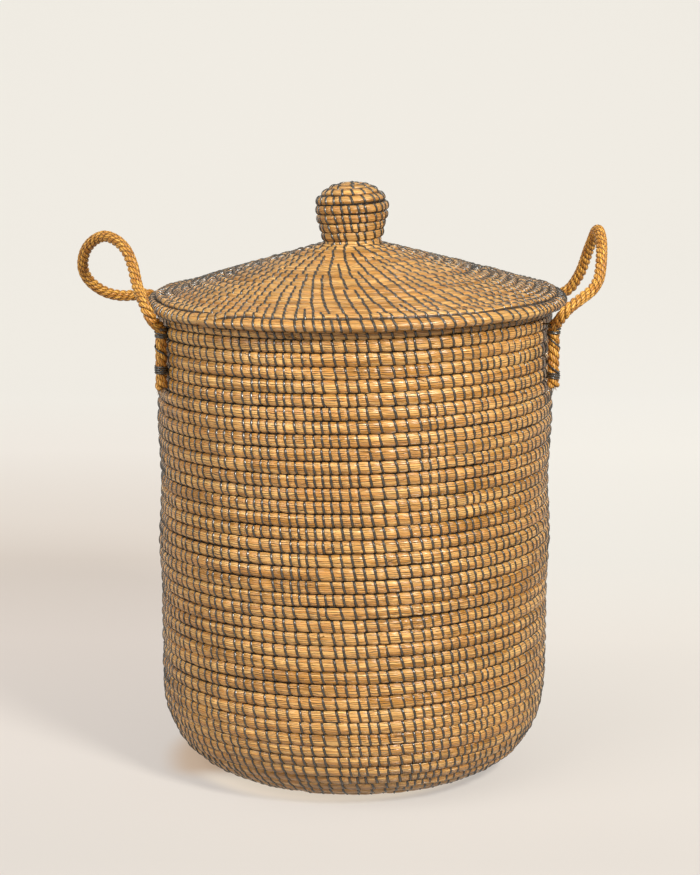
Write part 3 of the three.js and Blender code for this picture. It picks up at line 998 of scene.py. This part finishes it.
def seat_ring(name, height, seed):
    """One row that meets its own start."""
    chance = random.Random(seed)
    jitter = [chance.gauss(0, SEAT_JITTER) for each in range(SEAT_STITCHES)]
    stitches = range(-RING_LAP, SEAT_STITCHES + RING_LAP + 1)
    turns = [(each + jitter[each % SEAT_STITCHES]) / SEAT_STITCHES for each in stitches]
    line = [np.array([-1.0, 1.0]), np.array([seat_radius, seat_radius]), np.array([height - 1, height + 1])]
    ring = Coil(
        line, seat_row, turns, way=1, first_angle=0.0, half_depth=HALF_DEPTH, seed=seed,
        loop=SEAT_STITCHES, settle=on_the_rim,
    )
    sew(ring, name, RING_LAP, SEAT_STITCHES + RING_LAP, "lid", SEAGRASS, "lid_seat_coil")


for name, share in [("lid_seat_upper", 3), ("lid_seat_lower", 1)]:
    seat_ring(name, seat_low.z + share * seat_half, seed=31 + share)

# %% [markdown]
# ## The knob
# The knob is a flattened ball of the same bundle, wound finer: the rows are under a centimetre, and the
# threads bite so deep that the outline is bumpy. It is worked round a handful of chopped straw.
# The ball could be half an ellipse, but the real one is broad above the middle and runs in to the neck, so
# its outline is drawn by a few points, from the top down. Each is a radius and a depth below the top.

# %% Knob coil
KNOB_HALF_DEPTH = 0.0048
KNOB_PITCH = 0.0098
KNOB_OVERLAP = 0.0009
KNOB_WIDEST_CELL = 0.0128
KNOB_NARROWEST_CELL = 0.0062
KNOB_DRIFT = 0.0008
KNOB_CUT = 0.3
KNOB_POINTS = 90
KNOB_PROFILE = [
    (0, 0), (0.009, -0.0005), (0.018, -0.0026), (0.026, -0.0062), (0.0325, -0.0110), (0.0372, -0.0165),
    (0.0398, -0.0240), (0.0399, -0.0310), (0.0383, -0.0400), (0.0358, -0.0500), (0.0330, -0.0600),
    (0.0312, -0.0670), (0.0305, -0.0760),
]

knob_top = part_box("knob_coil")[1].z
neck_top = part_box("knob_neck_coil")[1].z


def knob_line():
    """From the top of the ball round to its foot."""
    across, down = np.array(KNOB_PROFILE).T
    slope = unit(np.column_stack([np.gradient(across), np.gradient(down)]))
    radius = np.maximum(across + KNOB_HALF_DEPTH * slope[:, 1], 0)
    height = knob_top + down - KNOB_HALF_DEPTH * slope[:, 0]
    along = distances(np.hypot(np.diff(radius), np.diff(height)))
    fine = np.linspace(0, along[-1], KNOB_POINTS)
    return fine, np.interp(fine, along, radius), np.interp(fine, along, height)


KNOB_LINE = knob_line()
knob_length = KNOB_LINE[0][-1]
knob_turns = walk_stitches(
    round_of(KNOB_LINE, KNOB_PITCH), knob_length / KNOB_PITCH - KNOB_CUT, first_count=4, drift=KNOB_DRIFT,
    seed=51, widest=KNOB_WIDEST_CELL, narrowest=KNOB_NARROWEST_CELL,
)
knob = Coil(
    KNOB_LINE, level_rows(KNOB_PITCH, knob_length), knob_turns, way=-1, first_angle=0.0,
    half_depth=KNOB_HALF_DEPTH, seed=52, settle=on_the_rim, overlap=KNOB_OVERLAP,
)
neck_line = np.interp(neck_top, KNOB_LINE[2][::-1], KNOB_LINE[0][::-1])
neck_stitch = stitch_at(knob_turns, neck_line / KNOB_PITCH - MID_ROW)
sew(knob, "knob", 0, neck_stitch, "lid", SEAGRASS, "knob_coil")
sew(knob, "neck", neck_stitch, len(knob_turns) - 1, "lid", SEAGRASS, "knob_neck_coil")

# %% Knob stuffing
STUFFING_SUBDIVISIONS = 4
STUFFING_LUMP = 0.0006
STUFFING_SEED = 61

core_low, core_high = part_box("knob_core")
ball = bmesh.new()
bmesh.ops.create_icosphere(ball, subdivisions=STUFFING_SUBDIVISIONS, radius=1)
bmesh.ops.scale(ball, vec=(core_high - core_low) / 2 - Vector((STUFFING_LUMP,) * 3), verts=ball.verts)
bmesh.ops.translate(ball, vec=(core_high + core_low) / 2, verts=ball.verts)
lumps = random.Random(STUFFING_SEED)
for vertex in ball.verts:
    lump = vertex.normal * lumps.uniform(-STUFFING_LUMP, STUFFING_LUMP)
    vertex.co = on_the_rim(np.array(vertex.co + lump))
stuffing = bpy.data.objects.new("knob_stuffing", bpy.data.meshes.new("knob_stuffing"))
ball.to_mesh(stuffing.data)
ball.free()
scene.collection.objects.link(stuffing)
dress(stuffing, "lid", STUFFING, "stuffing", "knob_core")

# %% [markdown]
# ## The rope handles
# Each handle is one stiff rope of three yarns. Its ends lie against the wall, and the loop between them
# leans out and is held only at its two feet, so it keeps the kinks that the photograph shows. The loop is a
# piece of its own, cut from the legs just above the pivots, where the rope leaves the lashings.
# The rope could be one round tube with a twisted bump, but its outline is scalloped, so the three yarns are
# laid for real: a smooth route first, then a helix for each yarn about it. The points of a loop are listed
# one by one. Each has millimetres out from the pivots, a share of the way from the middle to the rear leg,
# and millimetres up.

# %% Routes
LOOP_POINTS = {
    "left": [
        (-4.5, -1.1, -1.5), (0.5, -1.18, 8), (6.5, -1.08, 19.5), (14.5, -0.82, 32.5), (18.5, -0.69, 44.5),
        (22.5, -0.56, 56.5), (30.5, -0.385, 70.5), (42, -0.22, 79.5), (56, -0.06, 83), (69, 0.09, 77.5),
        (79, 0.235, 67), (84.5, 0.375, 53.5), (85, 0.505, 40), (79, 0.635, 27), (66.5, 0.76, 16),
        (52, 0.85, 10.5), (37, 0.915, 9.5), (23, 0.965, 11), (11, 0.995, 8.5), (5, 1, 5), (0, 1, 0),
    ],
    "right": [
        (-3, -1.1, 0), (2.8, -1.2, 10), (9.5, -1.17, 17), (21.5, -1.05, 24.5), (34.5, -0.92, 33),
        (42, -0.8, 43), (45, -0.68, 52.5), (47, -0.545, 62.5), (48.5, -0.39, 72), (49.5, -0.2, 81.5),
        (49.2, -0.05, 87.5), (48.5, 0.1, 90), (47.3, 0.26, 87), (45.5, 0.42, 77.5), (42.5, 0.57, 65),
        (40, 0.685, 53), (37, 0.785, 41), (32, 0.875, 29), (26, 0.94, 19.5), (17, 0.975, 12.5),
        (9.5, 0.995, 8), (4.5, 1, 4), (0, 1, 0),
    ],
}
MILLIMETRES = 1000
LEG_HALF_SPREAD = 0.080
LEG_REACH = 0.223
LEG_X = math.sqrt(LEG_REACH**2 - LEG_HALF_SPREAD**2)
LEG_STEPS = (0.4315, 0.447, 0.463, 0.48, 0.4970)
LEG_RAISE = {"left": 0.0, "right": 0.0045}
LEG_SHIFT = {"left": 0.0012, "right": 0.0038}
ROUTE_STEP = 0.0016
SPAN_POINTS = 20

SWINGS = {joint["child"]: joint for joint in frame["joints"]}
PIVOTS = {side: Vector(SWINGS[side + "_handle"]["pos_m"]) for side in ("left", "right")}


def smooth_route(points):
    """An even line of points on the smooth curve through the given ones."""
    points = np.array(points)
    ends = [2 * points[0] - points[1], 2 * points[-1] - points[-2]]
    padded = np.vstack([ends[:1], points, ends[1:]])
    share = np.linspace(0, 1, SPAN_POINTS, endpoint=False)[:, None]
    spans = []
    for before, start, end, after in zip(padded, padded[1:], padded[2:], padded[3:]):
        square = 2 * before - 5 * start + 4 * end - after
        cube = 3 * start - before - 3 * end + after
        spans.append(start + (end - before) / 2 * share + square / 2 * share**2 + cube / 2 * share**3)
    dense = np.vstack(spans + [points[-1:]])
    along = distances(np.linalg.norm(np.diff(dense, axis=0), axis=1))
    even = np.linspace(0, along[-1], round(along[-1] / ROUTE_STEP) + 1)
    return np.column_stack([np.interp(even, along, column) for column in dense.T])


def handle_route(side):
    """Up one leg, round the loop and down the other leg."""
    sign = -1 if side == "left" else 1
    pivot = PIVOTS[side]
    heights = [height + LEG_RAISE[side] for height in LEG_STEPS]
    leg_x = sign * LEG_X + LEG_SHIFT[side]
    front = [(leg_x, -LEG_HALF_SPREAD, height) for height in heights]
    back = [(leg_x, LEG_HALF_SPREAD, height) for height in reversed(heights)]
    loop = [
        (
            sign * (abs(pivot.x) + out / MILLIMETRES),
            share * LEG_HALF_SPREAD,
            pivot.z + up / MILLIMETRES,
        )
        for out, share, up in LOOP_POINTS[side]
    ]
    return smooth_route(front + loop + back)


ROUTES = {side: handle_route(side) for side in ("left", "right")}
for side, route in ROUTES.items():
    print(side, "rope", round(np.linalg.norm(np.diff(route, axis=0), axis=1).sum(), 3), "m")

# %% Yarns about a route
YARNS = 3
YARN_RADIUS = 0.0032
HELIX_RADIUS = 0.0033
LOOP_LAY = 0.023
LEG_LAY = 0.024
YARN_SIDES = 8
CUT_HEIGHT = 0.4885
TAIL_FROM = 0.4405
TAIL_SPREAD = 0.55
TAIL_SHARES = (1.0, 0.62, 0.84)
TAIL_THINNING = 0.35
FRAME_START = (0.3, 1, 0.2)
ROPE_RINGS_PER_UV = 3


def steady_frame(route):
    """Two directions across the route that turn as little as they can."""
    ahead = unit(np.gradient(route, axis=0))
    across = [unit(np.cross(ahead[0], FRAME_START))]
    for direction in ahead[1:]:
        across.append(unit(across[-1] - direction * np.dot(across[-1], direction)))
    across = np.array(across)
    return across, np.cross(ahead, across)


def lay_yarns(route):
    """The yarns' middle lines, the way out from the rope's middle, and their thickness."""
    across, other = steady_frame(route)
    lay = np.where(route[:, 2] > CUT_HEIGHT, LOOP_LAY, LEG_LAY)
    twist = np.cumsum(TURN * ROUTE_STEP / lay)
    below = np.clip(TAIL_FROM - route[:, 2], 0, None)
    flare = below / below.max()
    helix = (HELIX_RADIUS * (1 + TAIL_SPREAD * flare))[:, None]
    angles = [(twist + TURN * yarn / YARNS)[:, None] for yarn in range(YARNS)]
    outward = np.array([across * np.cos(angle) - other * np.sin(angle) for angle in angles])
    paths = route + helix * outward
    for path, share in zip(paths, TAIL_SHARES):
        path[:, 2] += below * (1 - share)
    return paths, outward, YARN_RADIUS * (1 - TAIL_THINNING * flare**2)


def rope_piece(name, yarns, stretch):
    """A stretch of the rope as one mesh."""
    paths, outward, thickness = yarns
    radius = thickness[stretch]
    rope = tubes(name, paths[:, stretch], outward[:, stretch], radius, radius, YARN_SIDES)
    stretch_uv(rope, len(radius) / ROPE_RINGS_PER_UV)
    return rope


print("yarns ready")

for side, route in ROUTES.items():
    yarns = lay_yarns(route)
    legs = route[:, 2] < CUT_HEIGHT
    first = int(np.argmin(legs))
    last = len(legs) - int(np.argmin(legs[::-1]))
    for which, stretch in [("front", slice(0, first + 1)), ("rear", slice(last - 1, None))]:
        leg = rope_piece(f"{side}_{which}_leg_rope", yarns, stretch)
        dress(leg, "basket", ROPE, "handle_rope", f"{side}_{which}_leg")
    loop = rope_piece(side + "_loop_rope", yarns, slice(first, last))
    loop.data.materials.append(ROPE)
    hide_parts(side + "_handle_loop")
    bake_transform(loop)

# %% [markdown]
# ## The lashings
# Each rope end is tied to the wall with the dark thread: several turns at the bend, a slanting thread down
# the rope, more turns lower down, and both ends pulled through between two rows.
# Rings could be stacked, but it is one long thread, so it is one tube on a helix whose pitch changes. The
# turns keep to the rope's own middle at each height.

# %% Lashing threads
LASHING_SIDES = 6
LASHING_STEP = TURN / 26
LASHING_THREAD = 0.0011
LASHING_REACH = 0.0062
LASHING_WOBBLE = 0.00025
LASHING_TURNS = distances([2.2, 0.6, 2.2, 1.4, 3.3])
LASHING_UPRIGHT = (0.05, 0.08, 1.0)
LASHING_RINGS_PER_UV = 8
LASHING_SEED = 71
UPPER_GAP = 0.0045
LASHED_STEPS = 50
LASHING_RAISE = {"left": (0.0070, 0.0085), "right": (0.0120, 0.0040)}
WALL_REACH = 0.012


def lashing_path(side, which, seed):
    """In from the wall, round and down the rope, and back into the wall."""
    upper_low, upper_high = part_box(f"{side}_{which}_upper_lashing")
    lower_low, lower_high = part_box(f"{side}_{which}_lower_lashing")
    gap_high = (upper_low.z + upper_high.z) / 2 + UPPER_GAP / 2
    gap_low = gap_high - UPPER_GAP
    upper = [upper_high.z - LASHING_THREAD, gap_high, gap_low, upper_low.z + LASHING_THREAD]
    lower = [lower_high.z - LASHING_THREAD, lower_low.z + LASHING_THREAD]
    raise_upper, raise_lower = LASHING_RAISE[side]
    heights = np.concatenate([np.add(upper, raise_upper), np.add(lower, raise_lower)])
    chance = random.Random(seed)
    angle = np.arange(0, LASHING_TURNS[-1] * TURN, LASHING_STEP)
    wobble = np.array([chance.gauss(0, LASHING_WOBBLE) for each in angle])
    sign = -1 if side == "left" else 1
    end = -1 if which == "front" else 1
    inward = math.atan2(-end * LEG_HALF_SPREAD, -sign * LEG_X)
    way = inward - end * angle
    height = np.interp(angle / TURN, LASHING_TURNS, heights)
    climb = (ROUTES[side] if which == "front" else ROUTES[side][::-1])[:LASHED_STEPS]
    turning = np.column_stack([
        np.interp(height, climb[:, 2], climb[:, 0]) + (LASHING_REACH + wobble) * np.cos(way),
        np.interp(height, climb[:, 2], climb[:, 1]) + (LASHING_REACH + wobble) * np.sin(way),
        height + wobble,
    ])
    into_wall = WALL_REACH * np.array([math.cos(inward), math.sin(inward), 0])
    return np.vstack([turning[:1] + into_wall, turning, turning[-1:] + into_wall])


for number, side in enumerate(("left", "right")):
    for which in ("front", "rear"):
        path = lashing_path(side, which, LASHING_SEED + number)[None]
        upright = np.broadcast_to(LASHING_UPRIGHT, path.shape)
        name = f"{side}_{which}_lashing"
        lashing = tubes(name, path, upright, LASHING_THREAD, LASHING_THREAD, LASHING_SIDES)
        stretch_uv(lashing, path.shape[1] / LASHING_RINGS_PER_UV)
        nodes = [f"{side}_{which}_{place}_lashing" for place in ("upper", "lower")]
        dress(lashing, "basket", THREAD, "stitch_thread", *nodes)

# %% [markdown]
# ## Frayed ends
# The rope ends are cut and left to fray, and here and there a broken stem lifts off the wall. Hair
# particles would give thousands of both. They are accidents, so there are few of them, each a thin tapered
# tube.

# %% Rope ends
FRAYS_PER_LEG = 8
FRAY_RINGS = 6
FRAY_SIDES = 4
FRAY_RADIUS = 0.0007
FRAY_TIP = 0.25
FRAY_SPREAD = 0.0045
FRAY_INSIDE = 0.004
FRAY_SPLAYS = (0.0005, 0.004)
FRAY_DROPS = (0.004, 0.009)
FRAY_BEND = 1.6
FRAY_CURL = 0.6
FRAY_FACING = (1.0, 0.3, 0.1)
FRAY_SEED = 81


def fray_paths(rope_end, chance):
    """Fibres that leave the cut rope end downwards and outwards."""
    share = np.linspace(0, 1, FRAY_RINGS)
    paths = []
    for fibre in range(FRAYS_PER_LEG):
        way = chance.uniform(0, TURN)
        start = FRAY_SPREAD * math.sqrt(chance.random())
        splay = chance.uniform(*FRAY_SPLAYS)
        drop = chance.uniform(*FRAY_DROPS)
        out = start + splay * share**FRAY_BEND
        curl = way + chance.uniform(-FRAY_CURL, FRAY_CURL) * share
        leaving = np.column_stack([out * np.cos(curl), out * np.sin(curl), FRAY_INSIDE - drop * share])
        paths.append(rope_end + leaving)
    return np.array(paths)


taper = FRAY_RADIUS * np.linspace(1, FRAY_TIP, FRAY_RINGS)
for side in ("left", "right"):
    for number, which in enumerate(("front", "rear")):
        rope_end = ROUTES[side][0 if which == "front" else -1]
        paths = fray_paths(rope_end, random.Random(FRAY_SEED + number))
        facing = np.broadcast_to(FRAY_FACING, paths.shape)
        fray = tubes(f"{side}_{which}_fray", paths, facing, taper, taper, FRAY_SIDES)
        dress(fray, "basket", ROPE, "handle_rope")

# %% Broken stems on the wall
BROKEN_STEMS = 110
BROKEN_RINGS = 5
BROKEN_SIDES = 4
BROKEN_RADIUS = 0.00055
BROKEN_WIDTH = 1.5
BROKEN_TIP = 0.4
BROKEN_REACHES = (0.5, 1.3)
BROKEN_TILT = 0.9
BROKEN_TURN = 0.6
BROKEN_LIFTS = (0.0004, 0.0022)
BROKEN_BEND = 1.5
RIM_STITCHES = 6
BROKEN_SEED = 91

chance = np.random.default_rng(BROKEN_SEED)


def for_each_stem(low, high):
    """An even chance between two values for each broken stem."""
    return chance.uniform(low, high, BROKEN_STEMS)[:, None]


share = np.linspace(0, 1, BROKEN_RINGS)[None, :]
start = for_each_stem(cuts[1], len(basket_turns) - RIM_STITCHES)
reach = for_each_stem(*BROKEN_REACHES) * chance.choice([-1, 1], BROKEN_STEMS)[:, None]
tilt = for_each_stem(-BROKEN_TILT, BROKEN_TILT) + for_each_stem(-BROKEN_TURN, BROKEN_TURN) * share
lift = for_each_stem(*BROKEN_LIFTS) * share**BROKEN_BEND
paths = basket.skin(start + reach * share, tilt, lift)
facing = basket.skin(start + reach * share, tilt, lift + FACING_STEP) - paths
thin = BROKEN_RADIUS * np.linspace(1, BROKEN_TIP, BROKEN_RINGS)
broken = tubes("broken_stems", paths, facing, thin * BROKEN_WIDTH, thin, BROKEN_SIDES)
dress(broken, "basket", SEAGRASS, "seagrass")

# %% [markdown]
# ## The floor
# The basket stands on a pale seamless sheet of paper that rolls up behind it. Stronger lamps would make the
# paper pale, but would bleach the basket. So the paper has a glow of its own, painted light that only the
# camera and gloss can see. It follows the soft light of the photograph from front to back and carries a
# painted shadow on the left. Round the foot it has painted shade, a painted contact shadow and, in front,
# a painted pool of light.

# %% Paper finish
PAPER = (0.30, 0.285, 0.265, 1)
MOTTLE_SCALE = 3.0
MOTTLE = 0.03
GLOW_REACH = (-0.33, 3.4)
GLOW_SIDES = (-0.35, 0.35)
# Painted light on the paper from front to back. The left ramp also holds the basket's painted shadow.
LEFT_GLOW_AND_SHADOW = [
    (0.0, (0.385, 0.360, 0.340, 1)), (0.083, (0.470, 0.432, 0.404, 1)), (0.220, (0.540, 0.480, 0.436, 1)),
    (0.346, (0.500, 0.438, 0.386, 1)), (0.600, (0.680, 0.640, 0.590, 1)), (0.772, (0.712, 0.690, 0.640, 1)),
    (1.0, (0.680, 0.660, 0.612, 1)),
]
RIGHT_GLOW = [
    (0.0, (0.380, 0.356, 0.336, 1)), (0.083, (0.480, 0.450, 0.418, 1)), (0.220, (0.600, 0.562, 0.515, 1)),
    (0.346, (0.618, 0.600, 0.556, 1)), (0.600, (0.720, 0.697, 0.644, 1)), (0.772, (0.735, 0.716, 0.668, 1)),
    (1.0, (0.680, 0.660, 0.612, 1)),
]
SHADE_GLOW = (0.385, 0.275, 0.190, 1)
SHADE_RADII = (0.185, 0.225)
SHADE_DEPTHS = (-0.10, -0.045)
SHADE_SIDES = (0.03, 0.12)
# A painted pool of light on the paper in front of the foot.
FOOT_GLOW = (0.640, 0.560, 0.465, 1)
FOOT_RADII = (0.150, 0.176)
FOOT_DEPTHS = (-0.06, 0.0)
FOOT_SHIFT = 0.022
# Painted shade on the paper behind the foot.
BACK_SHADE = (0.070, 0.052, 0.040, 1)
BACK_RADII = (0.145, 0.205)
BACK_DEPTHS = (0.02, 0.09)
# A dark painted contact shadow under the edge of the foot.
CONTACT_SHADOW = (0.020, 0.010, 0.004, 1)
CONTACT_RADII = (0.131, 0.139)


def within(across, depth, radii):
    """1 inside a circle on the floor and 0 outside it, with a soft edge between two radii."""
    return 1 - ((across * across + depth * depth) ** 0.5).between(*radii)


def paper_glow(across, depth):
    """The colour of the glow, which is painted light: paler to the back and right, with painted shade and
    shadow round the foot and a painted pool of light in front of it.
    """
    reach = {"Value": depth, "From Min": GLOW_REACH[0], "From Max": GLOW_REACH[1]}
    share = depth.node("MapRange", None, reach)
    sides = [share.node("ValToRGB", {"stops": stops}, {0: share}) for stops in (LEFT_GLOW_AND_SHADOW, RIGHT_GLOW)]
    glow = mix(across.between(*GLOW_SIDES), *sides)
    # Painted shadow left of the foot, a painted pool of light in front of it, painted shade behind it, and a
    # painted contact shadow under its edge.
    on_the_left = (0 - across).between(*SHADE_SIDES)
    shade = within(across, depth, SHADE_RADII) * depth.between(*SHADE_DEPTHS) * on_the_left
    glow = mix(shade, glow, SHADE_GLOW)
    foot = within(across + FOOT_SHIFT, depth, FOOT_RADII) * (1 - depth.between(*FOOT_DEPTHS))
    glow = mix(foot * (1 - shade), glow, FOOT_GLOW)
    glow = mix(within(across, depth, BACK_RADII) * depth.between(*BACK_DEPTHS), glow, BACK_SHADE)
    return mix(within(across, depth, CONTACT_RADII), glow, CONTACT_SHADOW)


def paper_finish():
    """Dull paper with a glow of painted light and shade that leaves the light on the basket alone."""
    material, start = start_finish("paper")
    place = start.node("TexCoord", output="Object")
    mottle = cloud(place, MOTTLE_SCALE, detail=2.0)
    diffuse = start.node("BsdfPrincipled", None, {
        "Base Color": mix(1.0, grey(1 - MOTTLE / 2 + mottle * MOTTLE), PAPER, "MULTIPLY"),
        "Roughness": 0.9,
        "Specular IOR Level": 0.1,
    })
    rays = ("Is Camera Ray", "Is Glossy Ray", "Is Transmission Ray")
    straight, in_gloss, through_glass = (start.node("LightPath", output=ray) for ray in rays)
    seen = start.maths("MAXIMUM", straight, start.maths("MAXIMUM", in_gloss, through_glass))
    glow = start.node("Emission", None, {"Color": paper_glow(*parts_of(place, "XY")), "Strength": seen})
    both = start.node("AddShader", None, {0: diffuse, 1: glow})
    start.node("OutputMaterial", None, {"Surface": both})
    return material


PAPER_FINISH = paper_finish()
print(len(PAPER_FINISH.node_tree.nodes), "nodes in the paper")

# %% Paper sweep
SWEEP_HALF_WIDTH = 16
SWEEP_FRONT = -16
SWEEP_BACK = 2.6
SWEEP_BEND = 1.4
SWEEP_BEND_STEPS = 24
SWEEP_TOP = 4

sweep = bmesh.new()


def of_kind(geometry, kind):
    """The vertices or the edges in what an operator made."""
    return [made for made in geometry if isinstance(made, kind)]


def pull(edges, by):
    """Extrudes a row of edges and moves it, and gives the new row."""
    made = bmesh.ops.extrude_edge_only(sweep, edges=edges)["geom"]
    bmesh.ops.translate(sweep, vec=by, verts=of_kind(made, bmesh.types.BMVert))
    return of_kind(made, bmesh.types.BMEdge)


corners = [sweep.verts.new((x, SWEEP_FRONT, 0)) for x in (-SWEEP_HALF_WIDTH, SWEEP_HALF_WIDTH)]
edge = sweep.edges.new(corners)
floor_end = pull([edge], (0, SWEEP_BACK - SWEEP_FRONT, 0))
far_edge = [e for e in floor_end if all(abs(v.co.y - SWEEP_BACK) < WELD_DISTANCE for v in e.verts)]
bent = bmesh.ops.spin(
    sweep, geom=far_edge, cent=(0, SWEEP_BACK, SWEEP_BEND), axis=(1, 0, 0), angle=TURN / 4,
    steps=SWEEP_BEND_STEPS,
)["geom_last"]
pull(of_kind(bent, bmesh.types.BMEdge), (0, 0, SWEEP_TOP))
bmesh.ops.recalc_face_normals(sweep, faces=sweep.faces)
for face in sweep.faces:
    face.smooth = True
paper = bpy.data.objects.new("paper_sweep", bpy.data.meshes.new("paper_sweep"))
sweep.to_mesh(paper.data)
sweep.free()
paper.data.materials.append(PAPER_FINISH)
scene.collection.objects.link(paper)
print(len(paper.data.polygons), "faces of paper")
